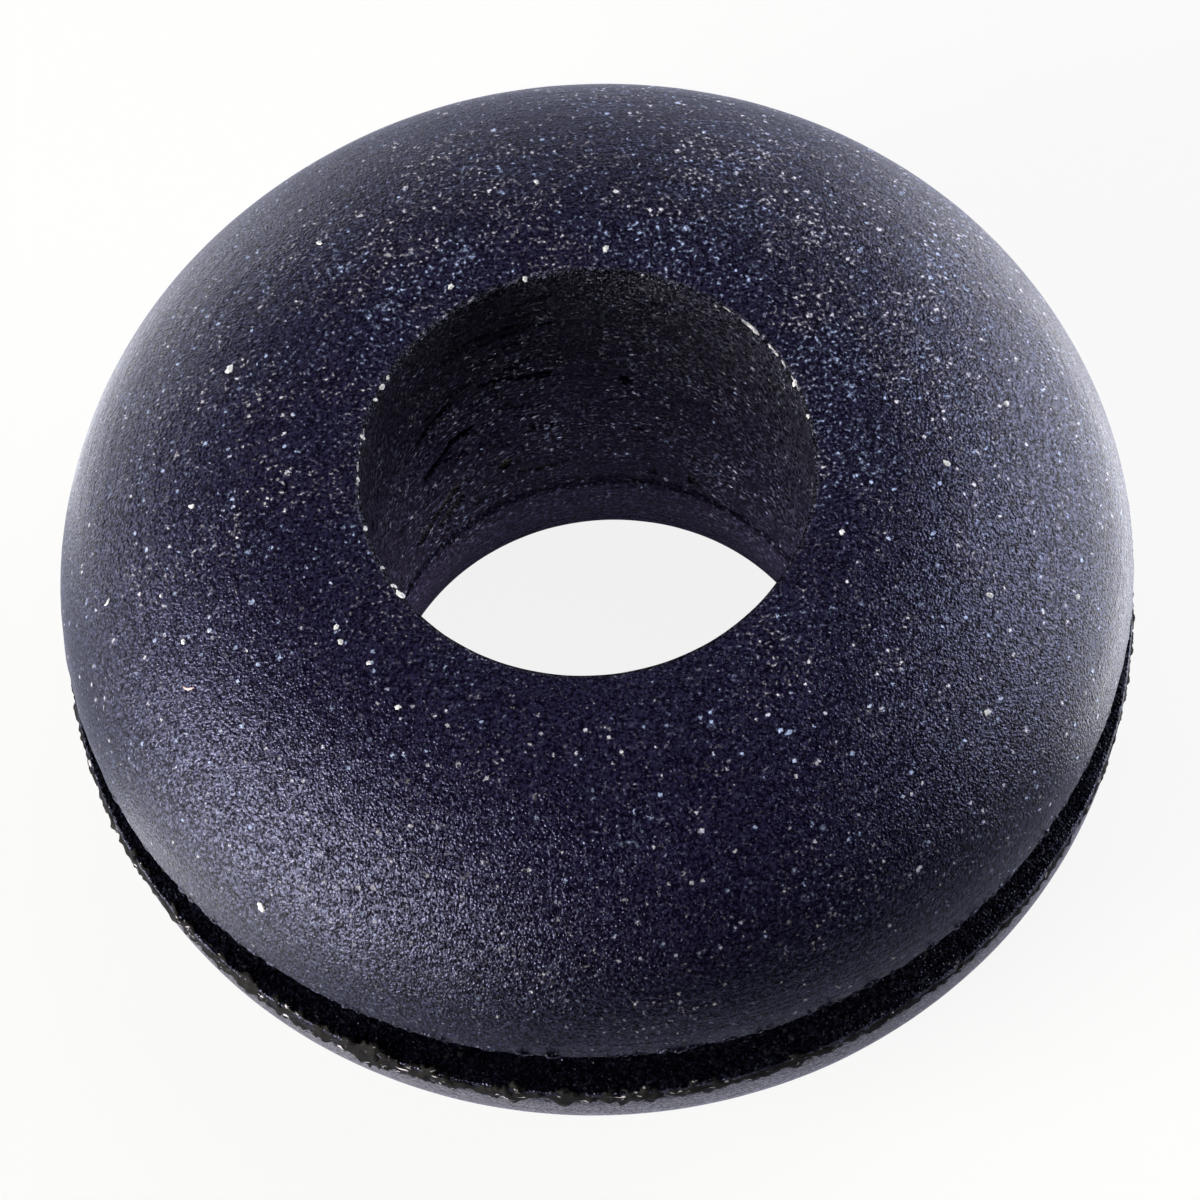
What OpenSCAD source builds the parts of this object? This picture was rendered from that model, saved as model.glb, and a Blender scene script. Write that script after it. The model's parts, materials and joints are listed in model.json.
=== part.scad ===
// Rubber grommet: one moulded ring, with a domed flange above and below a groove for a panel.
// Sizes are in millimetres. The origin is on the bore's axis, halfway across the groove, and +Z runs up the bore.

/* [Flanges] */
// Outer diameter of both flanges
flange_d = 19.05; // [17:0.05:24]
// Height of one flange, from the groove's face to the crown
flange_h = 3.96; // [3.2:0.01:4.8]
// Radius of the shoulder, which leaves the groove's face upright
shoulder_r = 3.1; // [2:0.05:3.6]
// Width of the flat ring on the crown, which the grommet lies on
land_w = 0.25; // [0.1:0.05:0.6]

/* [Groove] */
// Width of the groove, which is the thickness of the panel
groove_w = 1.6; // [0.8:0.1:3.2]
// Diameter of the groove's floor, which is the diameter of the panel's hole
groove_d = 12.7; // [10.5:0.1:15]
// Radius of the fillets between the groove's floor and its faces
groove_fillet_r = 0.2; // [0.05:0.05:0.35]

/* [Bore] */
// Diameter of the bore
bore_d = 8; // [6:0.05:9.5]
// Radius that rounds both rims of the bore
rim_r = 0.1; // [0.05:0.01:0.3]
// Height of the plain lip below the crease
lip_h = 1.42; // [0.8:0.02:2.4]
// Width of the crease, measured along the bore
crease_w = 0.44; // [0.2:0.02:0.6]
// Depth of the crease in the wall
crease_depth = 0.05; // [0.04:0.01:0.16]

/* [Hidden] */
$fn = 180;

// Radii and heights of the turned section, which is drawn with X along the radius and Y up the bore
flange_r = flange_d / 2;
groove_r = groove_d / 2;
bore_r = bore_d / 2;
crown_h = groove_w / 2 + flange_h;

// The flange's top is two arcs that meet without a visible corner: the shoulder's, whose centre lies on the
// groove's face, and the crown's, which is level where it meets the flat ring. Exact tangent arcs would leave
// a sliver where they meet, so the shoulder's arc stands a hair above the crown's there and the two cross.
arc_overlap = 0.002;
land_out_r = bore_r + rim_r + land_w;
shoulder_fit_r = min(shoulder_r, 0.9 * flange_h);
shoulder_x = flange_r - shoulder_fit_r;
arc_span = shoulder_x - land_out_r;
tangent_r = shoulder_fit_r - arc_overlap;
crown_r = (pow(arc_span, 2) + pow(flange_h, 2) - pow(tangent_r, 2)) / (2 * (flange_h - tangent_r));
shoulder_centre = [shoulder_x, 0];
crown_centre = [land_out_r, flange_h - crown_r];

// Directions that bound the two arcs: they meet near the line through their centres
up = [0, 1];
outward = [1, 0];
to_joint = (shoulder_centre - crown_centre) / norm(shoulder_centre - crown_centre);

// The crease is a shallow round cut
crease_r = (pow(crease_w / 2, 2) + pow(crease_depth, 2)) / (2 * crease_depth);
crease_centre = [bore_r + crease_depth - crease_r, lip_h + crease_w / 2 - crown_h];

// A slice of a disc, between two directions
module disc_slice(centre, radius, first, last) {
    reach = 2 * radius;
    intersection() {
        translate(centre) circle(radius);
        polygon([centre, centre + reach * first, centre + reach * (first + last), centre + reach * last]);
    }
}

// Half section of one flange, with the groove's face along Y = 0
module flange_section() {
    difference() {
        union() {
            disc_slice(crown_centre, crown_r, up, to_joint);
            disc_slice(shoulder_centre, shoulder_fit_r, up, outward);
            land_section();
        }
        translate([0, -crown_r]) square([flange_d, crown_r]);
    }
}

// The part of the section between the bore and the crown's arc, with its rounded rim
module land_section() {
    translate([bore_r + rim_r, 0]) square([land_w, flange_h]);
    translate([bore_r, 0]) square([rim_r, flange_h - rim_r]);
    translate([bore_r + rim_r, flange_h - rim_r]) circle(rim_r);
}

// Half section of the neck inside the groove, with a fillet in each corner
module neck_section() {
    translate([bore_r, -groove_w / 2]) square([groove_r - bore_r, groove_w]);
    for (side = [0, 1]) {
        mirror([0, side]) translate([groove_r, groove_w / 2 - groove_fillet_r]) difference() {
            square(groove_fillet_r);
            translate([groove_fillet_r, 0]) circle(groove_fillet_r);
        }
    }
}

// Half section of the whole ring
module ring_section() {
    difference() {
        union() {
            neck_section();
            for (side = [0, 1]) {
                mirror([0, side]) translate([0, groove_w / 2]) flange_section();
            }
        }
        translate(crease_centre) circle(crease_r);
    }
}

// The grommet, turned from its section
module grommet() {
    color([0.13, 0.13, 0.18]) rotate_extrude() ring_section();
}

grommet();
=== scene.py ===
"""Rubber grommet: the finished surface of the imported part, with its floor, lights and camera."""

import json
import math

import bmesh
import bpy
import numpy as np
from mathutils import Matrix, Vector
from mathutils import noise as smooth_noise


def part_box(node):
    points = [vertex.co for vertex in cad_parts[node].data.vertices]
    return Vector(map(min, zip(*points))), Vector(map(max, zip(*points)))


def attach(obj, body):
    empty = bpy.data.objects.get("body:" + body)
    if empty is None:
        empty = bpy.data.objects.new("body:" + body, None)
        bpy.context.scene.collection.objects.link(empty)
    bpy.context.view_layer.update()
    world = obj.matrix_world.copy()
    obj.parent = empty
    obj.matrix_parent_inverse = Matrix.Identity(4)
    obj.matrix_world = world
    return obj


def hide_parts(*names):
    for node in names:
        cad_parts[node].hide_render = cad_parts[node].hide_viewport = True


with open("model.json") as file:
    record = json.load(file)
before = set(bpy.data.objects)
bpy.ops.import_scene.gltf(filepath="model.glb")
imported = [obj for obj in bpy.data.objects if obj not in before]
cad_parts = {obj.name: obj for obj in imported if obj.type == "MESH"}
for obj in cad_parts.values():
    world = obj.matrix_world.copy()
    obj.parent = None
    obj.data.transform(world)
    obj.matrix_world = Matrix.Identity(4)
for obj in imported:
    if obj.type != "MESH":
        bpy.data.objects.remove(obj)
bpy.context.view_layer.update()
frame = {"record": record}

MM = 0.001

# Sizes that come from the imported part
low_corner, high_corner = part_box("grommet")
FLANGE_R = high_corner.x
CROWN_H = high_corner.z
FLOOR_Z = low_corner.z
bore_mount = next(mount for mount in frame["record"]["mounts"] if mount["name"] == "bore")
BORE_R = bore_mount["dims"]["r_mm"] * MM

# Sizes that the part's box doesn't give, the same as in its source
GROOVE_W = 1.6 * MM
GROOVE_R = 6.35 * MM
GROOVE_FILLET_R = 0.2 * MM
SHOULDER_R = 3.1 * MM
LAND_W = 0.25 * MM
RIM_R = 0.1 * MM
LIP_H = 1.42 * MM
CREASE_W = 0.44 * MM
CREASE_DEPTH = 0.05 * MM

# The groove's faces, and the arcs of the flange's top as in the source: (radius, height) of their centres
SEAT_Z = GROOVE_W / 2
CREASE_Z = LIP_H + CREASE_W / 2 - CROWN_H
LAND_OUT_R = BORE_R + RIM_R + LAND_W
SHOULDER_CENTRE = (FLANGE_R - SHOULDER_R, SEAT_Z)
crown_span = SHOULDER_CENTRE[0] - LAND_OUT_R
crown_rise = CROWN_H - SEAT_Z
CROWN_ARC_R = (crown_span**2 + crown_rise**2 - SHOULDER_R**2) / (2 * (crown_rise - SHOULDER_R))
CROWN_CENTRE = (LAND_OUT_R, CROWN_H - CROWN_ARC_R)
JOINT_ANGLE = math.atan2(SHOULDER_CENTRE[1] - CROWN_CENTRE[1], SHOULDER_CENTRE[0] - CROWN_CENTRE[0])

# Mesh density: columns round the body, how far they crowd together at the back, where the bore's wall
# shows, rows up that wall, and columns and corners of the strips on the edges
AROUND = 384
CROWDING = 0.45
WALL_ROWS = 128
EDGE_COLUMNS = 1300
RIM_COLUMNS = 900
STRIP_CORNERS = 10

# Radius of the break on the flanges' outer edges
EDGE_BREAK = 0.035 * MM

# Depth at which a pit or a score in the bore's wall is painted black as shade
MARK_DEPTH = 0.05 * MM

# How far the lower flange's edge is worn back
EDGE_WEAR = 0.06 * MM

# Pits in the bore's wall: azimuth in degrees, then height, radius and depth in millimetres
WALL_PITS = [
    (78, 0.70, 0.12, 0.11),
    (111, -1.70, 0.13, 0.11),
    (62, -2.65, 0.12, 0.11),
    (111, -3.05, 0.09, 0.08),
    (140, -2.20, 0.10, 0.09),
    (148, -0.85, 0.08, 0.07),
    (165, 1.55, 0.08, 0.07),
    (159, 2.05, 0.07, 0.06),
    (30, 1.40, 0.08, 0.07),
    (61, -1.75, 0.07, 0.06),
    (73, -2.70, 0.07, 0.06),
    (76, -1.05, 0.06, 0.05),
]

# Scores in the bore's wall: width and depth in millimetres, then places as azimuth in degrees and height
WALL_SCORES = [
    (0.06, 0.03, [(125, 3.40), (110, 3.25), (93, 2.90)]),
    (0.08, 0.06, [(138, 1.30), (126, 1.65)]),
    (0.10, 0.09, [(135, -0.25), (125, 0.25), (120, 0.25)]),
    (0.06, 0.05, [(129, -0.20), (122, -0.45)]),
    (0.10, 0.09, [(141, -2.15), (134, -1.95), (126, -1.50)]),
    (0.08, 0.06, [(132, -2.35), (125, -2.00)]),
    (0.07, 0.05, [(106, 1.25), (98, 1.15)]),
    (0.06, 0.04, [(104, -0.75), (97, -0.80)]),
    (0.06, 0.04, [(108, -2.20), (98, -2.35)]),
    (0.07, 0.05, [(116, 1.60), (107, 1.35)]),
]

# Crumbs of talc on the upper flange: azimuth and the surface's tilt in degrees, and width in millimetres
TALC_CRUMBS = [
    (154, 24, 0.15),
    (-3, 19, 0.11),
    (-22, 30, 0.11),
    (-36, 39, 0.11),
    (-21, 3, 0.10),
    (177, 26, 0.10),
    (8, 32, 0.11),
    (-148, 10, 0.10),
    (-131, 12, 0.10),
    (129, 25, 0.10),
    (-16, 48, 0.10),
    (-164, 33, 0.09),
    (-141, 9, 0.09),
    (-151, 9, 0.10),
    (-134, 64, 0.16),
    (118, 1, 0.11),
    (81, 1, 0.11),
    (94, 16, 0.09),
]

# Crumbs of talc on the bore's upper rim: azimuth in degrees, and width in millimetres
RIM_CRUMBS = [
    (-149, 0.16),
    (-152, 0.10),
    (-158, 0.08),
    (-170, 0.09),
    (176, 0.07),
    (164, 0.09),
    (153, 0.07),
    (149, 0.10),
    (146, 0.07),
    (101, 0.09),
    (20, 0.10),
    (10, 0.08),
]

# Fibres on the upper flange: azimuth, tilt and direction along the surface in degrees,
# and length in millimetres
LINT_FIBRES = [
    (-158, 36, 52, 0.24),
]
TALC_FIBRES = [
    (-175, 46, 118, 0.18),
]

# Colours, each as the dark one and the pale one that a pattern mixes
FLANGE_COLOURS = ((0.002, 0.0013, 0.007), (0.012, 0.010, 0.037))
WALL_COLOURS = ((0.0015, 0.001, 0.003), (0.019, 0.015, 0.034))
# partly grime, partly a painted reflection of the floor on the lower flange's edge
GRIME_AND_REFLECTION_COLOURS = ((0.008, 0.006, 0.006), (0.110, 0.100, 0.102))
DUST_COLOURS = ((0.46, 0.57, 0.90), (0.78, 0.76, 0.88))
GLOSS_COLOURS = ((0.02, 0.02, 0.04), (0.58, 0.62, 1.0))
TORN_COLOURS = ((0.003, 0.0025, 0.003), (0.50, 0.48, 0.56))
# the rim's flash: partly thin flash, partly a painted highlight along the rim
RIM_FLASH_AND_HIGHLIGHT_COLOURS = ((0.10, 0.10, 0.13), (0.5, 0.5, 0.55))
TALC_COLOURS = ((0.45, 0.46, 0.50), (0.75, 0.76, 0.80))
LINT_COLOURS = ((0.75, 0.42, 0.42), (0.80, 0.62, 0.60))

# Other colours: the gloss of the wall's marks, darkened as painted shade, the matt floor, and the floor as
# gloss sees it, with a painted bounce light under the bore
# painted shade: the gloss left in the pits and scores
MARK_SHADE_GLOSS = (0.02, 0.02, 0.03)
FLOOR_GREY = (0.8, 0.8, 0.8, 1.0)
WHITE = (1.0, 1.0, 1.0)
FLOOR_IN_GLOSS = (0.78, 0.80, 1.0)
# painted bounce light: the rubber's blue on the floor under the bore, in gloss
BORE_FLOOR_IN_GLOSS = (0.68, 0.58, 1.0)

# Specks of talc in the rubber's colour, by the values that the function specks takes
FINE_SPECKS = {"per_mm": 5.0, "share": 0.45, "radius": 0.19, "shift": (0.5, 0.9, 0.2)}
COARSE_SPECKS = {"per_mm": 2.4, "share": 0.3, "radius": 0.13, "shift": (0.8, 0.4, 0.6)}

# How many times as pale as its base colour the bore's wall is at most, where painted light makes it paler
WALL_PAINTED_PALEST = 6.0

# Heights of the rubber's grain on the flanges, in the bore, in the groove and on torn edges
FLANGE_GRAIN = 0.028 * MM
WALL_GRAIN = 0.09 * MM
GROOVE_GRAIN = 0.03 * MM
TORN_GRAIN = 0.05 * MM

# Refraction of rubber, talc and lint
IOR = 1.5

# The photograph's camera, fitted to the outlines of the flange and of the bore. Names that end in PX are
# in its pixels, the distance is in metres and the sensor's width in millimetres.
PHOTO_SIZE_PX = 1200
SEAT_PX = (596.8, 575.7)
FLANGE_R_PX = 537.0
CAMERA_ELEVATION = math.radians(62.4)
CAMERA_ROLL = math.radians(5.37)
CAMERA_DISTANCE = 0.381
SENSOR_W = 36.0

# Share of plain white in the floor's look to the camera. The rest is its lit colour, which keeps the shadow.
FLOOR_WHITE = 0.87

# Half the floor's width, and the height of the lamps that lie on it, in metres
FLOOR_HALF = 1.5
PANEL_LIFT = 0.2 * MM


def smooth_step(low, high, value):
    """0 below low, 1 above high, and a smooth curve between them."""
    share = np.clip((value - low) / (high - low), 0.0, 1.0)
    return share * share * (3.0 - 2.0 * share)


def noise_at(points, size, seed):
    """Smooth noise from -1 to 1 at each point of an array, with features of about the given size."""
    shift = Vector((17.3 * seed, -9.1 * seed, 5.7 * seed))
    flat_points = points.reshape(-1, 3)
    values = [smooth_noise.noise(Vector(point) / size + shift) for point in flat_points]
    return np.array(values).reshape(points.shape[:-1])


def near_azimuth(azimuths, degrees, reach):
    """1 at an azimuth, falling smoothly to 0 at the given reach on both sides, all in degrees."""
    away = np.abs((np.degrees(azimuths) - degrees + 180.0) % 360.0 - 180.0)
    return 1.0 - smooth_step(0.0, reach, away)


class Section:
    """Half section of a turned body: points (radius, height) with the direction out of the rubber at each."""

    def __init__(self):
        self.points = []
        self.normals = []

    def add(self, point, normal):
        self.points.append(point)
        self.normals.append(normal)

    def line(self, start, end, normal, count):
        """Adds count points from start up to but without end."""
        for step in range(count):
            share = step / count
            place = (start[0] + share * (end[0] - start[0]), start[1] + share * (end[1] - start[1]))
            self.add(place, normal)

    def arc(self, centre, radius, first, last, count, hollow=False):
        """Adds count points from angle first up to but without last, in radians from the radial direction."""
        side = -1.0 if hollow else 1.0
        for step in range(count):
            angle = first + (last - first) * step / count
            out = (math.cos(angle), math.sin(angle))
            place = (centre[0] + radius * out[0], centre[1] + radius * out[1])
            self.add(place, (side * out[0], side * out[1]))


def flange_section():
    """The upper flange, from the bore's rim over the crown and down to the middle of the groove's floor."""
    section = Section()
    edge_angle = math.asin(EDGE_BREAK / (SHOULDER_R - EDGE_BREAK))
    section.arc((BORE_R + RIM_R, CROWN_H - RIM_R), RIM_R, math.pi, math.pi / 2, 6)
    section.line((BORE_R + RIM_R, CROWN_H), (LAND_OUT_R, CROWN_H), (0.0, 1.0), 2)
    section.arc(CROWN_CENTRE, CROWN_ARC_R, math.pi / 2, JOINT_ANGLE, 20)
    section.arc(SHOULDER_CENTRE, SHOULDER_R, JOINT_ANGLE, edge_angle, 16)
    edge_centre = (FLANGE_R - EDGE_BREAK, SEAT_Z + EDGE_BREAK)
    section.arc(edge_centre, EDGE_BREAK, 0.0, -math.pi / 2, 4)
    fillet_centre = (GROOVE_R + GROOVE_FILLET_R, SEAT_Z - GROOVE_FILLET_R)
    ragged_to = FLANGE_R - 0.6 * MM
    section.line((edge_centre[0], SEAT_Z), (ragged_to, SEAT_Z), (0.0, -1.0), 6)
    section.line((ragged_to, SEAT_Z), (fillet_centre[0], SEAT_Z), (0.0, -1.0), 5)
    section.arc(fillet_centre, GROOVE_FILLET_R, math.pi / 2, math.pi, 4, hollow=True)
    section.line((GROOVE_R, fillet_centre[1]), (GROOVE_R, 0.0), (1.0, 0.0), 3)
    return section


def ring_section():
    """The whole closed section: the bore's wall upwards, the upper flange, and its mirror image below."""
    upper = flange_section()
    section = Section()
    section.line((BORE_R, RIM_R - CROWN_H), (BORE_R, CROWN_H - RIM_R), (-1.0, 0.0), WALL_ROWS)
    section.points += upper.points
    section.normals += upper.normals
    section.add((GROOVE_R, 0.0), (1.0, 0.0))
    section.points += [(r, -z) for r, z in reversed(upper.points[1:])]
    section.normals += [(r, -z) for r, z in reversed(upper.normals[1:])]
    return np.array(section.points), np.array(section.normals)


def turned(radial, axial, azimuths):
    """Turns values along the radius and the axis into an array of vectors (row, column, xyz)."""
    return np.stack([
        radial * np.cos(azimuths),
        radial * np.sin(azimuths),
        axial + np.zeros_like(azimuths),
    ], axis=2)


def ring_quads(rows, columns):
    """Quads that join each point of a closed section to the next, and each column to the next one round."""
    row = np.arange(rows)[:, None]
    column = np.arange(columns)[None, :]
    next_row = (row + 1) % rows
    next_column = (column + 1) % columns
    quads = np.stack([
        row * columns + column,
        row * columns + next_column,
        next_row * columns + next_column,
        next_row * columns + column,
    ], axis=2)
    return quads.reshape(-1, 4)


def mesh_object(name, mesh, material):
    """A smooth-shaded object that rides with the part and takes the material it is given."""
    mesh.shade_smooth()
    mesh.materials.append(material)
    piece = bpy.data.objects.new(name, mesh)
    bpy.context.collection.objects.link(piece)
    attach(piece, "root")
    return piece


def ring_object(name, places, material):
    """An object from the places of a ring's points, given as an array (row, column, xyz)."""
    rows, columns = places.shape[:2]
    mesh = bpy.data.meshes.new(name)
    mesh.from_pydata(places.reshape(-1, 3).tolist(), [], ring_quads(rows, columns).tolist())
    mesh.update()
    return mesh_object(name, mesh, material)


def crease_depth(heights):
    """Depth of the soft crease that runs round the bore above its lower lip."""
    share = np.clip(np.abs(heights - CREASE_Z) / (CREASE_W / 2), 0.0, 1.0)
    return CREASE_DEPTH * (0.5 + 0.5 * np.cos(math.pi * share))


def on_wall(places):
    """1 for the points on the bore's wall and 0 for the rest."""
    radius = np.hypot(places[..., 0], places[..., 1])
    return 1.0 - smooth_step(BORE_R + 0.01 * MM, BORE_R + 0.05 * MM, radius)


def pit_depth(along, height):
    """Depth of the round pits, at places given along the bore's circumference and up its wall."""
    depth = np.zeros_like(height)
    for degrees, pit_height, radius, deep in WALL_PITS:
        away = np.hypot(along - math.radians(degrees) * BORE_R, height - pit_height * MM)
        depth = np.maximum(depth, deep * MM * (1.0 - smooth_step(0.3, 1.1, away / (radius * MM))))
    return depth


def score_depth(along, height):
    """Depth of the scores, which follow short lines along the bore's wall."""
    depth = np.zeros_like(height)
    for width, deep, places in WALL_SCORES:
        corners = [(math.radians(degrees) * BORE_R, up * MM) for degrees, up in places]
        for start, end in zip(corners, corners[1:]):
            run = (end[0] - start[0], end[1] - start[1])
            share = ((along - start[0]) * run[0] + (height - start[1]) * run[1]) / (run[0]**2 + run[1]**2)
            share = np.clip(share, 0.0, 1.0)
            away = np.hypot(along - start[0] - share * run[0], height - start[1] - share * run[1])
            depth = np.maximum(depth, deep * MM * (1.0 - smooth_step(0.2, 1.0, away / (width * MM))))
    return depth


def wall_marks(places, azimuths):
    """How deep the pits and scores go at each point, as if all of them lay on the bore's wall."""
    along = azimuths[None, :] * BORE_R + 0.07 * MM * noise_at(places, 0.2 * MM, seed=5)
    height = places[..., 2] + 0.07 * MM * noise_at(places, 0.2 * MM, seed=6)
    return np.maximum(pit_depth(along, height), score_depth(along, height))


def wall_relief(places, azimuths):
    """How deep the crease and the streaks go at each point, as if all of them lay on the bore's wall."""
    height = places[..., 2]
    along = azimuths[None, :] * BORE_R + np.zeros_like(height)
    above_lip = smooth_step(LIP_H - CROWN_H, LIP_H - CROWN_H + CREASE_W, height)

    unrolled = np.stack([along * 0.25, height, np.zeros_like(height)], axis=2)
    streaks = np.clip(noise_at(unrolled, 0.16 * MM, seed=3), 0.0, 1.0)
    torn = near_azimuth(azimuths, 122, 40)[None, :]

    uneven = 1.0 + 0.5 * noise_at(unrolled, 0.35 * MM, seed=7)
    return crease_depth(height) * uneven + above_lip * (0.012 + 0.03 * torn) * MM * streaks


def moulded_relief(places, azimuths, marks):
    """How far each point stands out of the true turned form: waves, marks in the bore and ragged edges."""
    radius = np.hypot(places[..., 0], places[..., 1])
    relief = 0.010 * MM * noise_at(places, 3.0 * MM, seed=1)
    relief += 0.003 * MM * noise_at(places, 0.6 * MM, seed=2)
    relief -= on_wall(places) * wall_relief(places, azimuths) + marks

    edge_distance = np.hypot(radius - FLANGE_R, np.abs(places[..., 2]) - SEAT_Z)
    near_edge = 1.0 - smooth_step(0.08 * MM, 0.32 * MM, edge_distance)
    relief += near_edge * 0.022 * MM * noise_at(places, 0.3 * MM, seed=4)
    return relief


def worn(places):
    """The same points with the lower flange's edge worn back towards the axis."""
    radius = np.hypot(places[..., 0], places[..., 1])
    near_edge = smooth_step(FLANGE_R - 0.30 * MM, FLANGE_R - 0.03 * MM, radius) * (places[..., 2] < 0.0)
    inwards = 1.0 - EDGE_WEAR * near_edge / radius
    return places * np.stack([inwards, inwards, np.ones_like(inwards)], axis=2)


def make_body(material):
    """The grommet itself, as one closed turned mesh with the relief that moulding left on it."""
    points, normals = ring_section()
    even = np.arange(AROUND) * 2 * math.pi / AROUND
    azimuths = even + CROWDING * np.cos(even)
    places = turned(points[:, :1], points[:, 1:], azimuths)
    out = turned(normals[:, :1], normals[:, 1:], azimuths)
    marks = on_wall(places) * wall_marks(places, azimuths)
    relief = moulded_relief(places, azimuths, marks)
    body = ring_object("grommet_body", worn(places + out * relief[..., None]), material)
    # The marks' depth goes to the material, which paints shade into the pits and scores
    shade = body.data.attributes.new("marks", "FLOAT", "POINT")
    shade.data.foreach_set("value", np.clip(marks / MARK_DEPTH, 0.0, 1.0).ravel())
    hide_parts("grommet")


def lumpy_strip(name, centre, half_width, half_height, lump_size, lump_stretch, lump_share, material):
    """A closed lumpy strip round the part. centre is its radius and height, and the halves vary round it.

    The lumps are lump_stretch times as long round the part as they are thick."""
    columns = len(half_width)
    azimuths = np.arange(columns) * 2 * math.pi / columns
    corners = -np.arange(STRIP_CORNERS)[:, None] * 2 * math.pi / STRIP_CORNERS
    across = np.cos(corners) * half_width
    up = np.sin(corners) * half_height
    stretched = turned(centre[0] / lump_stretch + across, centre[1] + up, azimuths)
    bulge = noise_at(stretched, lump_size, seed=11) + 0.5 * noise_at(stretched, lump_size / 2, seed=12)
    swell = 1.0 + lump_share * bulge
    places = turned(centre[0] + across * swell, centre[1] + up * swell, azimuths)
    ring_object(name, places, material)


def ragged_round(columns, radius, size, seed):
    """Azimuths round the part, and noise at them at a radius, with features of about the given size."""
    azimuths = np.arange(columns) * 2 * math.pi / columns
    return azimuths, noise_at(turned(radius, 0.0, azimuths[None, :])[0], size, seed)


def make_upper_edge(material):
    """Small lumps along the lower edge of the upper flange, where the mould left it uneven."""
    azimuths, ragged = ragged_round(EDGE_COLUMNS, FLANGE_R, 0.35 * MM, seed=15)
    half = 0.045 * MM * (1.0 + 0.5 * ragged) * (0.3 + 0.7 * near_azimuth(azimuths, -90, 130))
    centre = (FLANGE_R - 0.04 * MM, SEAT_Z + 0.02 * MM)
    lumpy_strip("upper_edge_lumps", centre, half, half, 0.10 * MM, 1.2, 1.5, material)


def make_edge_flash(material):
    """Crumbly torn flash along the top outer edge of the lower flange, thickest at the front left."""
    azimuths, ragged = ragged_round(EDGE_COLUMNS, FLANGE_R, 0.45 * MM, seed=13)
    fullness = 0.65 + 0.5 * near_azimuth(azimuths, -122, 50) - 0.2 * near_azimuth(azimuths, -25, 60)
    fullness = fullness * (1.0 + 0.6 * ragged)
    half_height = 0.20 * MM * fullness
    half_width = 0.07 * MM * (0.6 + 0.4 * fullness)
    centre = (FLANGE_R - EDGE_WEAR - 0.04 * MM, -SEAT_Z - 0.18 * MM)
    lumpy_strip("edge_flash", centre, half_width, half_height, 0.08 * MM, 2.0, 0.9, material)


def make_rim_flash(material):
    """A thin fin of flash on the bore's upper rim, pale partly as a painted highlight. It stands up only in
    places, and is buried elsewhere.
    """
    azimuths, ragged = ragged_round(RIM_COLUMNS, BORE_R, 0.14 * MM, seed=14)
    presence = 1.1 * near_azimuth(azimuths, 36, 17) + 0.9 * near_azimuth(azimuths, 20, 4)
    presence += 0.4 * near_azimuth(azimuths, 166, 40) + 0.3 * near_azimuth(azimuths, 118, 30)
    presence = np.clip(presence * (0.6 + 1.4 * ragged), 0.0, 1.2)
    half_height = (0.022 + 0.09 * presence) * MM
    half_width = (0.014 + 0.010 * presence) * MM
    centre = (BORE_R + 0.045 * MM, CROWN_H - 0.06 * MM)
    lumpy_strip("rim_flash", centre, half_width, half_height, 0.07 * MM, 1.5, 0.5, material)


def dome_place(azimuth, tilt):
    """Place on the upper flange where the surface tilts so many degrees, with the ways out and round."""
    a = math.radians(azimuth)
    angle = math.pi / 2 - math.radians(tilt)
    on_crown = angle > JOINT_ANGLE
    centre, reach = (CROWN_CENTRE, CROWN_ARC_R) if on_crown else (SHOULDER_CENTRE, SHOULDER_R)
    radius = centre[0] + reach * math.cos(angle)
    height = centre[1] + reach * math.sin(angle)
    out = Vector((math.cos(a) * math.cos(angle), math.sin(a) * math.cos(angle), math.sin(angle)))
    round_axis = Vector((-math.sin(a), math.cos(a), 0.0))
    return Vector((radius * math.cos(a), radius * math.sin(a), height)), out, round_axis


def rim_place(azimuth):
    """Place on the rounded rim of the bore, with the ways out and round."""
    a = math.radians(azimuth)
    out = Vector((-math.cos(a), -math.sin(a), 1.0)).normalized()
    round_axis = Vector((-math.sin(a), math.cos(a), 0.0))
    middle = Vector(((BORE_R + RIM_R) * math.cos(a), (BORE_R + RIM_R) * math.sin(a), CROWN_H - RIM_R))
    return middle + out * RIM_R, out, round_axis


def add_lump(shape, place, axes, half_sizes, bend, roughness):
    """Adds one closed lump: a ball stretched along three axes, bent along the first, and roughened."""
    ball = bmesh.ops.create_icosphere(shape, subdivisions=3, radius=1.0)
    for vertex in ball["verts"]:
        unit = vertex.co.copy()
        swell = 1.0 + roughness * smooth_noise.noise(unit * 1.7 + place / MM)
        along, across, up = (unit[k] * half_sizes[k] * swell for k in range(3))
        across += bend * unit[0]**2 * half_sizes[0]
        vertex.co = place + axes[0] * along + axes[1] * across + axes[2] * up


def surface_axes(out, round_axis, degrees):
    """Three axes on a surface: along it, at an angle from the way round, then across it, and out of it."""
    along = Matrix.Rotation(math.radians(degrees), 3, out) @ round_axis
    return along, out.cross(along), out


def lumps_object(name, shape, material):
    """An object from lumps that were added to a shape, which is used up."""
    mesh = bpy.data.meshes.new(name)
    shape.to_mesh(mesh)
    shape.free()
    mesh_object(name, mesh, material)


def make_crumbs(material):
    """Small crumbs of talc, sunk a little in the surface."""
    shape = bmesh.new()
    crumbs = [(dome_place(azimuth, tilt), width) for azimuth, tilt, width in TALC_CRUMBS]
    crumbs += [(rim_place(azimuth), width) for azimuth, width in RIM_CRUMBS]
    for number, ((place, out, round_axis), width) in enumerate(crumbs):
        axes = surface_axes(out, round_axis, 50 * number)
        half = width * MM / 2
        half_sizes = (half * 1.15, half * 0.85, half * 0.5)
        add_lump(shape, place, axes, half_sizes, bend=0.0, roughness=0.6)
    lumps_object("talc_crumbs", shape, material)


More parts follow.
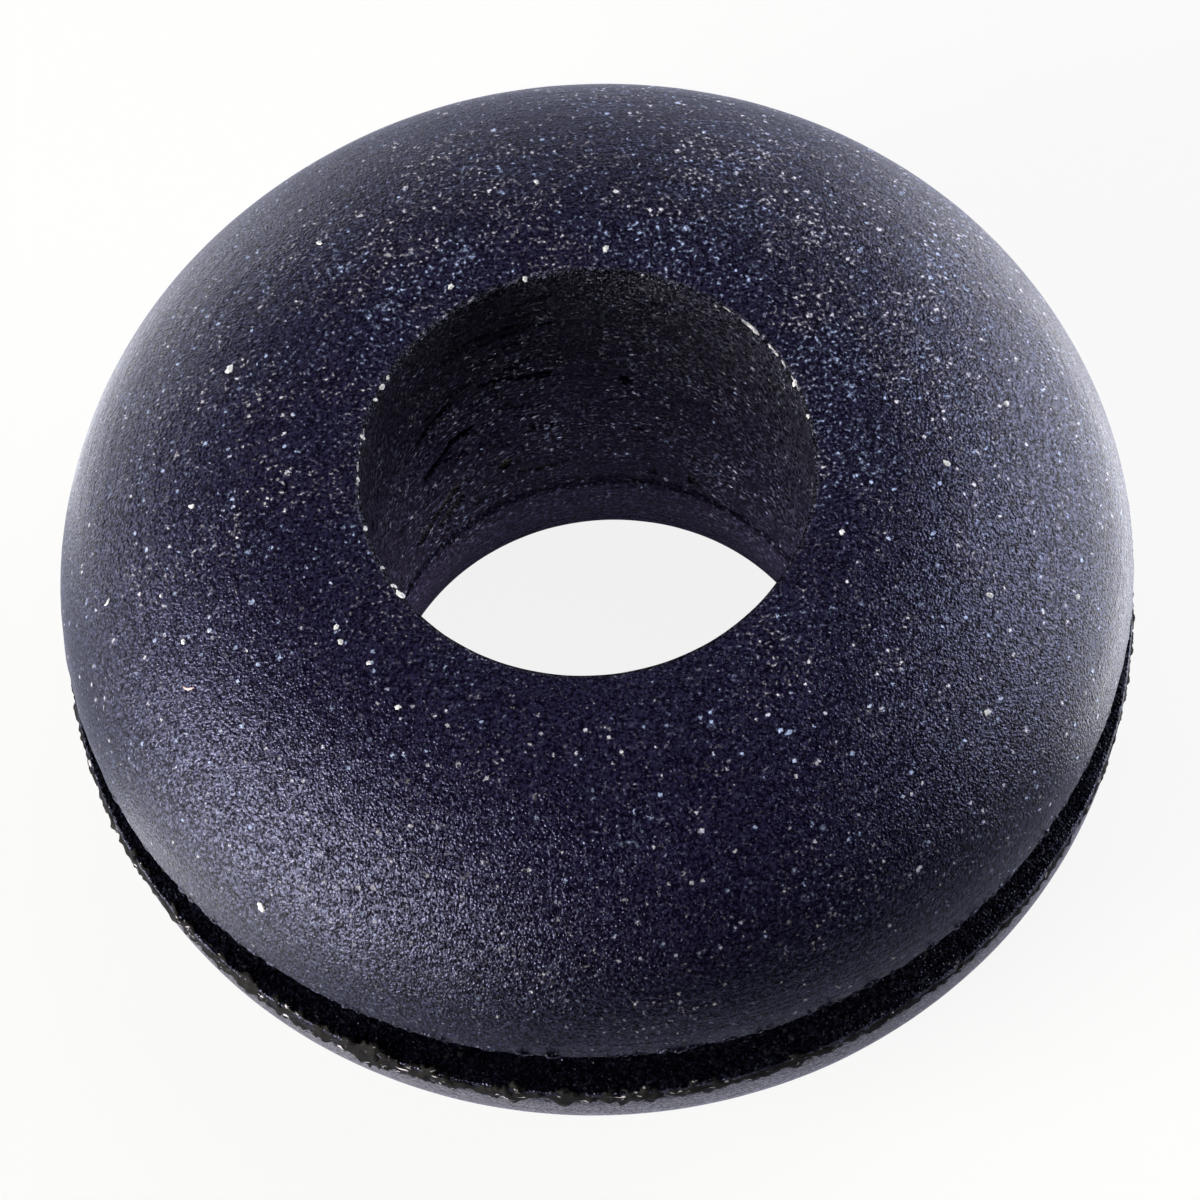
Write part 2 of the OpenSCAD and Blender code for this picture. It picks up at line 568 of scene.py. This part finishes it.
def make_fibres(name, fibres, material):
    """Short fibres that lie on the upper flange."""
    shape = bmesh.new()
    for azimuth, tilt, degrees, length in fibres:
        place, out, round_axis = dome_place(azimuth, tilt)
        axes = surface_axes(out, round_axis, degrees)
        half_sizes = (length * MM / 2, 0.022 * MM, 0.020 * MM)
        add_lump(shape, place + out * 0.012 * MM, axes, half_sizes, bend=0.35, roughness=0.1)
    lumps_object(name, shape, material)


def new_material(name):
    """A material with an empty node tree."""
    material = bpy.data.materials.new(name)
    material.use_nodes = True
    tree = material.node_tree
    tree.nodes.clear()
    return material, tree


def add(tree, kind, inputs=None, **settings):
    """Adds a node, sets its properties, and fills its inputs with values or with other nodes' outputs."""
    node = tree.nodes.new(kind)
    for key, value in settings.items():
        setattr(node, key, value)
    for key, value in (inputs or {}).items():
        if isinstance(value, bpy.types.NodeSocket):
            tree.links.new(value, node.inputs[key])
        else:
            node.inputs[key].default_value = value
    return node


def maths(tree, operation, first, second=0.0):
    """The output of one Math node."""
    return add(tree, "ShaderNodeMath", {0: first, 1: second}, operation=operation).outputs[0]


def sum_of(tree, first, *others):
    """The sum of two or more values."""
    for value in others:
        first = maths(tree, "ADD", first, value)
    return first


def product_of(tree, first, *others):
    """The product of two or more values."""
    for value in others:
        first = maths(tree, "MULTIPLY", first, value)
    return first


def vector_maths(tree, operation, first, second=(0.0, 0.0, 0.0)):
    """One Vector Math node."""
    return add(tree, "ShaderNodeVectorMath", {0: first, 1: second}, operation=operation)


def ramp(tree, value, low, high, start=0.0, end=1.0):
    """A value from low to high turned into one from start to end, smoothly and held at both ends."""
    inputs = {"Value": value, "From Min": low, "From Max": high, "To Min": start, "To Max": end}
    return add(tree, "ShaderNodeMapRange", inputs, interpolation_type="SMOOTHSTEP").outputs["Result"]


def mix_colour(tree, share, first, second):
    """A colour between two others. Each is a socket, or three numbers."""
    node = add(tree, "ShaderNodeMix", data_type="RGBA")
    for socket, value in ((node.inputs[0], share), (node.inputs[6], first), (node.inputs[7], second)):
        if isinstance(value, bpy.types.NodeSocket):
            tree.links.new(value, socket)
        elif isinstance(value, tuple):
            socket.default_value = (*value, 1.0)
        else:
            socket.default_value = value
    return node.outputs[2]


def place_in_mm(tree):
    """The object's own coordinates in millimetres, as a socket."""
    place = add(tree, "ShaderNodeTexCoord").outputs["Object"]
    return vector_maths(tree, "MULTIPLY", place, (1.0 / MM, 1.0 / MM, 1.0 / MM)).outputs[0]


def radius_of(tree, place):
    """How far a place is from the part's axis."""
    flat = vector_maths(tree, "MULTIPLY", place, (1.0, 1.0, 0.0)).outputs[0]
    return vector_maths(tree, "LENGTH", flat).outputs["Value"]


def noise(tree, place, scale, detail, roughness=0.5):
    """Noise from 0 to 1 with features of one part in scale of a unit, and finer ones on them."""
    inputs = {"Vector": place, "Scale": scale, "Detail": detail, "Roughness": roughness}
    return add(tree, "ShaderNodeTexNoise", inputs).outputs["Fac"]


def specks(tree, place, ragged, per_mm, share, radius, shift):
    """Ragged specks, at most one in each cell of a cubic grid, each with its own brightness from 0 to 1.

    share is the part of the cells that hold one, and radius is its radius in cells. ragged is a noise."""
    scaled = vector_maths(tree, "MULTIPLY", place, (per_mm, per_mm, per_mm)).outputs[0]
    scaled = vector_maths(tree, "ADD", scaled, shift).outputs[0]
    cell = vector_maths(tree, "FLOOR", scaled).outputs[0]
    within = vector_maths(tree, "FRACTION", scaled).outputs[0]
    chance = add(tree, "ShaderNodeTexWhiteNoise", {"Vector": cell}, noise_dimensions="3D")
    spread = 1.0 - 2.0 * radius
    centre = vector_maths(tree, "MULTIPLY", chance.outputs["Color"], (spread, spread, spread)).outputs[0]
    centre = vector_maths(tree, "ADD", centre, (radius, radius, radius)).outputs[0]
    away = vector_maths(tree, "DISTANCE", within, centre).outputs["Value"]
    away = sum_of(tree, away, ramp(tree, ragged, 0.2, 0.8, -0.8 * radius, 0.8 * radius))
    brightness = ramp(tree, chance.outputs["Value"], share, 0.0)
    return product_of(tree, ramp(tree, away, radius, 0.5 * radius), brightness)


def zones(tree, place):
    """Shares of a place that lie on the flanges' outsides, in the bore and in the groove."""
    height = add(tree, "ShaderNodeSeparateXYZ", {0: place}).outputs["Z"]
    beyond_rim = ramp(tree, radius_of(tree, place), BORE_R / MM, BORE_R / MM + 0.12)
    past_seat = maths(tree, "GREATER_THAN", maths(tree, "ABSOLUTE", height), SEAT_Z / MM + 0.01)
    outside = product_of(tree, beyond_rim, past_seat)
    bore = maths(tree, "SUBTRACT", 1.0, beyond_rim)
    groove = maths(tree, "SUBTRACT", beyond_rim, outside)
    return outside, bore, groove


def weighted(tree, *pairs):
    """The sum of values, each multiplied by its share."""
    total = 0.0
    for share, value in pairs:
        total = sum_of(tree, total, product_of(tree, share, value))
    return total


class RubberPatterns:
    """What the rubber's colour, talc, gloss and relief share: places in millimetres, zones and noises."""

    def __init__(self, tree):
        self.place = place_in_mm(tree)
        self.outside, self.bore, self.groove = zones(tree, self.place)
        parts = add(tree, "ShaderNodeSeparateXYZ", {0: self.place})
        self.across, self.depth, self.height = (parts.outputs[axis] for axis in "XYZ")
        self.sideways = maths(tree, "ABSOLUTE", self.across)
        self.marks = add(tree, "ShaderNodeAttribute", attribute_name="marks").outputs["Fac"]

        self.patches = noise(tree, self.place, 0.5, 2.0)
        self.speckle = noise(tree, self.place, 13.0, 1.0, 0.6)
        self.grain = noise(tree, self.place, 21.0, 1.0, 0.6)
        cells = add(tree, "ShaderNodeTexVoronoi", {"Vector": self.place, "Scale": 21.0})
        cells = add(tree, "ShaderNodeSeparateXYZ", {0: cells.outputs["Color"]}).outputs["X"]
        clouds = noise(tree, self.place, 17.0, 2.0, 0.8)
        self.mottle = sum_of(tree, clouds, ramp(tree, cells, 0.0, 1.0, -0.08, 0.08))

        along = weighted(tree, (self.outside, 0.8), (self.bore, 2.0), (self.groove, 0.8))
        stretch = add(tree, "ShaderNodeCombineXYZ", {"X": along, "Y": along, "Z": 9.0}).outputs[0]
        stretched = vector_maths(tree, "MULTIPLY", self.place, stretch).outputs[0]
        self.streaks = noise(tree, stretched, 1.0, 1.0)


def talc_share(tree, at):
    """Share of the surface that talc covers: fine powder, and specks that are brighter and fewer."""
    crowd = sum_of(
        tree,
        at.speckle,
        ramp(tree, at.patches, 0.3, 0.7, -0.03, 0.04),
        ramp(tree, at.depth, -7.5, 4.0, -0.05, 0.03),
        ramp(tree, at.across, -7.0, 6.0, -0.02, 0.015),
    )
    powder = maths(tree, "DIVIDE", maths(tree, "SUBTRACT", crowd, 0.52), 0.28)
    powder = maths(tree, "POWER", maths(tree, "MAXIMUM", powder, 0.0), 3.6)
    fine = specks(tree, at.place, at.mottle, **FINE_SPECKS)
    coarse = specks(tree, at.place, at.mottle, **COARSE_SPECKS)
    bright = product_of(
        tree,
        maths(tree, "MAXIMUM", fine, coarse),
        ramp(tree, at.depth, -9.0, -3.0, 0.3, 1.1),
        ramp(tree, at.across, -8.0, 6.0, 0.65, 1.25),
    )
    dust = maths(tree, "MAXIMUM", product_of(tree, powder, 0.8), bright)

    on_flanges = ramp(tree, at.height, 1.0, 4.0, 0.7, 1.0)
    low_in_bore = ramp(tree, at.height, 0.5, 3.5, 1.0, 0.5)
    in_bore = product_of(tree, ramp(tree, at.sideways, 1.0, 3.3, 0.45, 0.7), low_in_bore)
    settled = weighted(tree, (at.outside, on_flanges), (at.bore, in_bore), (at.groove, 0.1))
    dust = maths(tree, "MINIMUM", product_of(tree, dust, settled), 1.0)
    # no talc in the pits and scores, so their painted shade stays dark
    return product_of(tree, dust, ramp(tree, at.marks, 0.1, 0.6, 1.0, 0.0))


def wall_speckle_and_painted_light(tree, at):
    """How many times as pale as its base colour the bore's wall is: painted light makes it paler at its lower
    lip and its sides, painted shade darker towards the upper rim, along the crease and in the pits and
    scores, and a random speckle varies it.
    """
    from_crease = maths(tree, "ABSOLUTE", maths(tree, "SUBTRACT", at.height, CREASE_Z / MM))
    tone = product_of(
        tree,
        # painted light from below: paler at the lower lip
        ramp(tree, at.height, -4.4, -2.4, 1.5, 0.26),
        # painted shade: darker towards the upper rim
        ramp(tree, at.height, -1.0, 3.5, 1.0, 0.15),
        # painted shade: darker along the crease
        ramp(tree, from_crease, 0.34, 0.06, 1.0, 0.35),
        # painted light: paler at the bore's sides
        ramp(tree, at.sideways, 1.6, 3.6, 2.2, WALL_PAINTED_PALEST),
        ramp(tree, at.speckle, 0.42, 0.66, 0.3, 2.4),
        # painted shade: darker in the pits and scores
        ramp(tree, at.marks, 0.1, 0.7, 1.0, 0.05),
    )
    return maths(tree, "MINIMUM", tone, WALL_PAINTED_PALEST)


def bare_colour(tree, at):
    """The rubber's colour without talc: a mottled navy black, with a pale band at the lower flange's edge
    that is partly grime and partly a painted reflection of the floor.
    """
    flanges = mix_colour(tree, ramp(tree, at.mottle, 0.38, 0.68), *FLANGE_COLOURS)
    wall = mix_colour(tree, ramp(tree, at.mottle, 0.42, 0.66), *WALL_COLOURS)
    rubber = mix_colour(tree, at.bore, flanges, wall)
    from_middle = maths(tree, "ABSOLUTE", at.height)
    tone = weighted(
        tree,
        (at.outside, ramp(tree, from_middle, 1.6, 4.2, 0.3, 1.0)),
        (at.bore, wall_speckle_and_painted_light(tree, at)),
        # painted shade: the groove's rubber is darker
        (at.groove, 0.15),
    )
    rubber = vector_maths(tree, "MULTIPLY", rubber, tone).outputs[0]

    # The lower flange's edge is paler: partly grime, partly a painted reflection of the floor
    wavy_height = sum_of(tree, at.height, ramp(tree, at.streaks, 0.3, 0.7, -0.15, 0.15))
    near_edge = product_of(
        tree,
        ramp(tree, wavy_height, -1.0, -1.3),
        ramp(tree, at.height, -3.4, -2.2),
        at.outside,
    )
    grime_and_reflection = mix_colour(tree, ramp(tree, at.mottle, 0.35, 0.70), *GRIME_AND_REFLECTION_COLOURS)
    return mix_colour(tree, near_edge, rubber, grime_and_reflection)


def rubber_material():
    """Navy-black rubber with a fine grain, a mottled satin gloss and a light dust of talc."""
    material, tree = new_material("black_rubber")
    at = RubberPatterns(tree)
    dust = mix_colour(tree, ramp(tree, at.streaks, 0.45, 0.55), *DUST_COLOURS)
    colour = mix_colour(tree, talc_share(tree, at), bare_colour(tree, at), dust)

    relief = sum_of(tree, at.grain, product_of(tree, at.streaks, 0.7))
    bump_height = weighted(tree, (at.outside, FLANGE_GRAIN), (at.bore, WALL_GRAIN), (at.groove, GROOVE_GRAIN))
    bump = add(tree, "ShaderNodeBump", {"Height": relief, "Strength": 1.0, "Distance": bump_height})
    gloss = mix_colour(tree, ramp(tree, at.mottle, 0.41, 0.62), *GLOSS_COLOURS)
    # painted shade: the pits and scores lose their gloss
    gloss = mix_colour(tree, ramp(tree, at.marks, 0.1, 0.7), gloss, MARK_SHADE_GLOSS)
    shader = add(tree, "ShaderNodeBsdfPrincipled", {
        "Base Color": colour,
        "Roughness": ramp(tree, at.speckle, 0.35, 0.65, 0.19, 0.36),
        "Normal": bump.outputs["Normal"],
        "IOR": IOR,
        "Specular IOR Level": 1.0,
        "Specular Tint": gloss,
    })
    add(tree, "ShaderNodeOutputMaterial", {"Surface": shader.outputs[0]})
    return material


def torn_material():
    """Torn edges of the same rubber: rough and dark, with pale bruised spots."""
    material, tree = new_material("torn_rubber")
    place = place_in_mm(tree)
    level = vector_maths(tree, "MULTIPLY", place, (4.5, 4.5, 13.0)).outputs[0]
    grain = noise(tree, level, 1.0, 1.0, 0.7)
    colour = mix_colour(tree, ramp(tree, grain, 0.64, 0.76), *TORN_COLOURS)
    bump = add(tree, "ShaderNodeBump", {"Height": grain, "Strength": 1.0, "Distance": TORN_GRAIN})
    shader = add(tree, "ShaderNodeBsdfPrincipled", {
        "Base Color": colour,
        "Roughness": 0.75,
        "Normal": bump.outputs["Normal"],
        "IOR": IOR,
        "Specular IOR Level": 0.2,
    })
    add(tree, "ShaderNodeOutputMaterial", {"Surface": shader.outputs[0]})
    return material


def matt_material(name, dark, pale):
    """A matt, slightly mottled material for talc, lint, or the rim's thin flash, which is made pale partly as
    a painted highlight.
    """
    material, tree = new_material(name)
    grain = noise(tree, place_in_mm(tree), 20.0, 2.0)
    colour = mix_colour(tree, ramp(tree, grain, 0.35, 0.65), dark, pale)
    shader = add(tree, "ShaderNodeBsdfPrincipled", {"Base Color": colour, "Roughness": 0.7, "IOR": IOR})
    add(tree, "ShaderNodeOutputMaterial", {"Surface": shader.outputs[0]})
    return material


def floor_glow(tree):
    """How white the floor glows in gloss, as painted light and shade: pale behind and beside the part, dim in
    front, brighter at the part's front edge, and a painted shadow in the bore.

    The second output is the share of the bore, where the floor in gloss has a painted bounce light, blue from
    the rubber round it."""
    place = place_in_mm(tree)
    radius = radius_of(tree, place)
    parts = add(tree, "ShaderNodeSeparateXYZ", {0: place})
    across, depth = parts.outputs["X"], parts.outputs["Y"]
    around = sum_of(
        tree,
        ramp(tree, depth, -40.0, -10.0, 0.15, 0.42),
        ramp(tree, depth, -8.0, 4.0, 0.0, 0.45),
    )
    around = maths(tree, "SUBTRACT", around, ramp(tree, depth, 14.0, 50.0, 0.0, 0.25))
    # painted light: brighter at the part's front edge
    at_front_edge = product_of(
        tree,
        ramp(tree, across, 0.5, 5.0, 1.0, 0.2),
        ramp(tree, across, -8.0, -4.5, 0.2, 1.0),
        ramp(tree, radius, 10.1, 9.3),
    )
    around = maths(tree, "MINIMUM", sum_of(tree, around, at_front_edge), 1.0)
    beside = ramp(tree, radius, 6.5, 8.5)
    in_bore = maths(tree, "SUBTRACT", 1.0, beside)
    # painted shadow in the bore: dim in gloss, lighter near the wall
    under = ramp(tree, radius, 3.0, 4.1, 0.01, 0.21)
    return weighted(tree, (beside, around), (in_bore, under)), in_bore


def floor_material():
    """Pale matt floor that the camera sees close to white, with the object's shadow kept, and that gloss sees
    glowing with painted light and shade.
    """
    material, tree = new_material("pale_floor")
    path = add(tree, "ShaderNodeLightPath")
    by_camera = path.outputs["Is Camera Ray"]
    by_gloss = maths(tree, "MAXIMUM", path.outputs["Is Glossy Ray"], path.outputs["Is Transmission Ray"])
    glow, in_bore = floor_glow(tree)
    strength = maths(tree, "MAXIMUM", by_camera, glow)
    tint = mix_colour(tree, by_gloss, WHITE, FLOOR_IN_GLOSS)
    tint = mix_colour(tree, product_of(tree, by_gloss, in_bore), tint, BORE_FLOOR_IN_GLOSS)
    matt = add(tree, "ShaderNodeBsdfDiffuse", {"Color": FLOOR_GREY})
    white = add(tree, "ShaderNodeEmission", {"Color": tint, "Strength": strength})
    share = maths(tree, "MAXIMUM", by_gloss, product_of(tree, by_camera, FLOOR_WHITE))
    mixed = add(tree, "ShaderNodeMixShader", {"Fac": share, 1: matt.outputs[0], 2: white.outputs[0]})
    add(tree, "ShaderNodeOutputMaterial", {"Surface": mixed.outputs[0]})
    return material


def make_floor():
    """A wide level floor that the grommet lies on."""
    signs = [(-1, -1), (1, -1), (1, 1), (-1, 1)]
    corners = [(x * FLOOR_HALF, y * FLOOR_HALF, FLOOR_Z) for x, y in signs]
    mesh = bpy.data.meshes.new("floor")
    mesh.from_pydata(corners, [], [(0, 1, 2, 3)])
    mesh.materials.append(floor_material())
    floor = bpy.data.objects.new("floor", mesh)
    bpy.context.collection.objects.link(floor)


def area_lamp(name, location, facing, width, height, brightness, mirrored=True, colour=WHITE):
    """A rectangular lamp that the camera doesn't see. Its face has the given brightness, where 1 is white.

    One that isn't mirrored lights matt surfaces but doesn't show in gloss."""
    data = bpy.data.lights.new(name, "AREA")
    data.shape = "RECTANGLE"
    data.size, data.size_y = width, height
    data.color = colour
    data.energy = math.pi * width * height * brightness
    lamp = bpy.data.objects.new(name, data)
    lamp.location = location
    lamp.rotation_mode = "QUATERNION"
    lamp.rotation_quaternion = (-facing).to_track_quat("Z", "Y")
    lamp.visible_camera = False
    lamp.visible_glossy = mirrored
    bpy.context.collection.objects.link(lamp)


def softbox(name, azimuth, elevation, distance, width, height, brightness, **settings):
    """A lamp that faces the grommet from a direction in degrees. Its distance and sizes are in metres."""
    a, e = math.radians(azimuth), math.radians(elevation)
    away = Vector((math.cos(a) * math.cos(e), math.sin(a) * math.cos(e), math.sin(e)))
    area_lamp(name, away * distance, -away, width, height, brightness, **settings)


def floor_panel(name, x_range, y_range, brightness, mirrored=True):
    """A lamp that lies on the floor and faces up. The ranges are in millimetres."""
    middle = Vector((sum(x_range) / 2 * MM, sum(y_range) / 2 * MM, FLOOR_Z + PANEL_LIFT))
    width = (x_range[1] - x_range[0]) * MM
    height = (y_range[1] - y_range[0]) * MM
    area_lamp(name, middle, Vector((0.0, 0.0, 1.0)), width, height, brightness, mirrored)


def make_world():
    """A studio that is pale near the horizon behind the grommet and dim overhead and on the camera's side."""
    world = bpy.data.worlds.new("studio")
    bpy.context.scene.world = world
    world.use_nodes = True
    tree = world.node_tree
    tree.nodes.clear()
    direction = add(tree, "ShaderNodeTexCoord").outputs["Generated"]
    parts = add(tree, "ShaderNodeSeparateXYZ", {0: direction})
    high = ramp(tree, parts.outputs["Y"], -0.45, 0.4, 0.01, 0.08)
    behind = ramp(tree, parts.outputs["Y"], 0.1, 0.7)
    low = product_of(tree, ramp(tree, parts.outputs["Z"], 0.85, 0.1), behind)
    level = sum_of(tree, high, product_of(tree, low, 0.36))
    path = add(tree, "ShaderNodeLightPath")
    seen = maths(tree, "MAXIMUM", level, path.outputs["Is Camera Ray"])
    surround = add(tree, "ShaderNodeBackground", {"Strength": seen})
    add(tree, "ShaderNodeOutputWorld", {"Surface": surround.outputs[0]})


def make_lights():
    """Softboxes at the left, the right and above, panels on the floor, and the dim studio round them.

    The panel in the bore and the softbox above light only matt surfaces."""
    softbox("left_softbox", -162, 15, 0.20, 0.22, 0.12, 2.9)
    softbox("left_key", -153, 16, 0.18, 0.12, 0.13, 12.5, colour=(1.0, 0.93, 0.78))
    softbox("right_softbox", 20, 16, 0.20, 0.20, 0.13, 5.4)
    softbox("top_softbox", 60, 62, 0.25, 0.22, 0.22, 1.6, mirrored=False)
    floor_panel("left_panel", (-60, -10.5), (-34, -2), 1.6)
    floor_panel("left_key_panel", (-50, -12), (-26, -8), 4.8)
    floor_panel("right_panel", (11.5, 55), (-3, 30), 2.5)
    floor_panel("back_panel", (-60, -9.5), (6, 60), 1.5)
    floor_panel("bore_panel", (-2.6, 2.6), (-3.4, -0.8), 22.0, mirrored=False)
    make_world()


def make_camera():
    """The photograph's camera: far off, looking down, and turned a little about its own axis."""
    forward = Vector((0.0, math.cos(CAMERA_ELEVATION), -math.sin(CAMERA_ELEVATION)))
    level_right = Vector((1.0, 0.0, 0.0))
    level_up = Vector((0.0, math.sin(CAMERA_ELEVATION), math.cos(CAMERA_ELEVATION)))
    right = level_right * math.cos(CAMERA_ROLL) - level_up * math.sin(CAMERA_ROLL)
    up = level_right * math.sin(CAMERA_ROLL) + level_up * math.cos(CAMERA_ROLL)
    metres_per_px = FLANGE_R / FLANGE_R_PX
    target = Vector((0.0, 0.0, SEAT_Z))
    target += right * (PHOTO_SIZE_PX / 2 - SEAT_PX[0]) * metres_per_px
    target -= up * (PHOTO_SIZE_PX / 2 - SEAT_PX[1]) * metres_per_px
    data = bpy.data.cameras.new("camera")
    data.sensor_width = SENSOR_W
    data.lens = SENSOR_W * CAMERA_DISTANCE / (PHOTO_SIZE_PX * metres_per_px)
    data.clip_start = 0.01
    data.clip_end = 10.0
    camera = bpy.data.objects.new("camera", data)
    camera.rotation_mode = "QUATERNION"
    camera.rotation_quaternion = Matrix((right, up, -forward)).transposed().to_quaternion()
    camera.location = target - forward * CAMERA_DISTANCE
    bpy.context.collection.objects.link(camera)
    bpy.context.scene.camera = camera


make_camera()
rubber = rubber_material()
torn = torn_material()
make_body(rubber)
make_upper_edge(rubber)
make_edge_flash(torn)
# pale as a painted highlight along the rim, on a real fin of flash
make_rim_flash(matt_material("rim_flash", *RIM_FLASH_AND_HIGHLIGHT_COLOURS))
talc = matt_material("talc", *TALC_COLOURS)
make_crumbs(talc)
make_fibres("talc_fibres", TALC_FIBRES, talc)
make_fibres("lint_fibres", LINT_FIBRES, matt_material("lint", *LINT_COLOURS))
make_floor()
make_lights()
bpy.context.scene.view_settings.view_transform = "Standard"
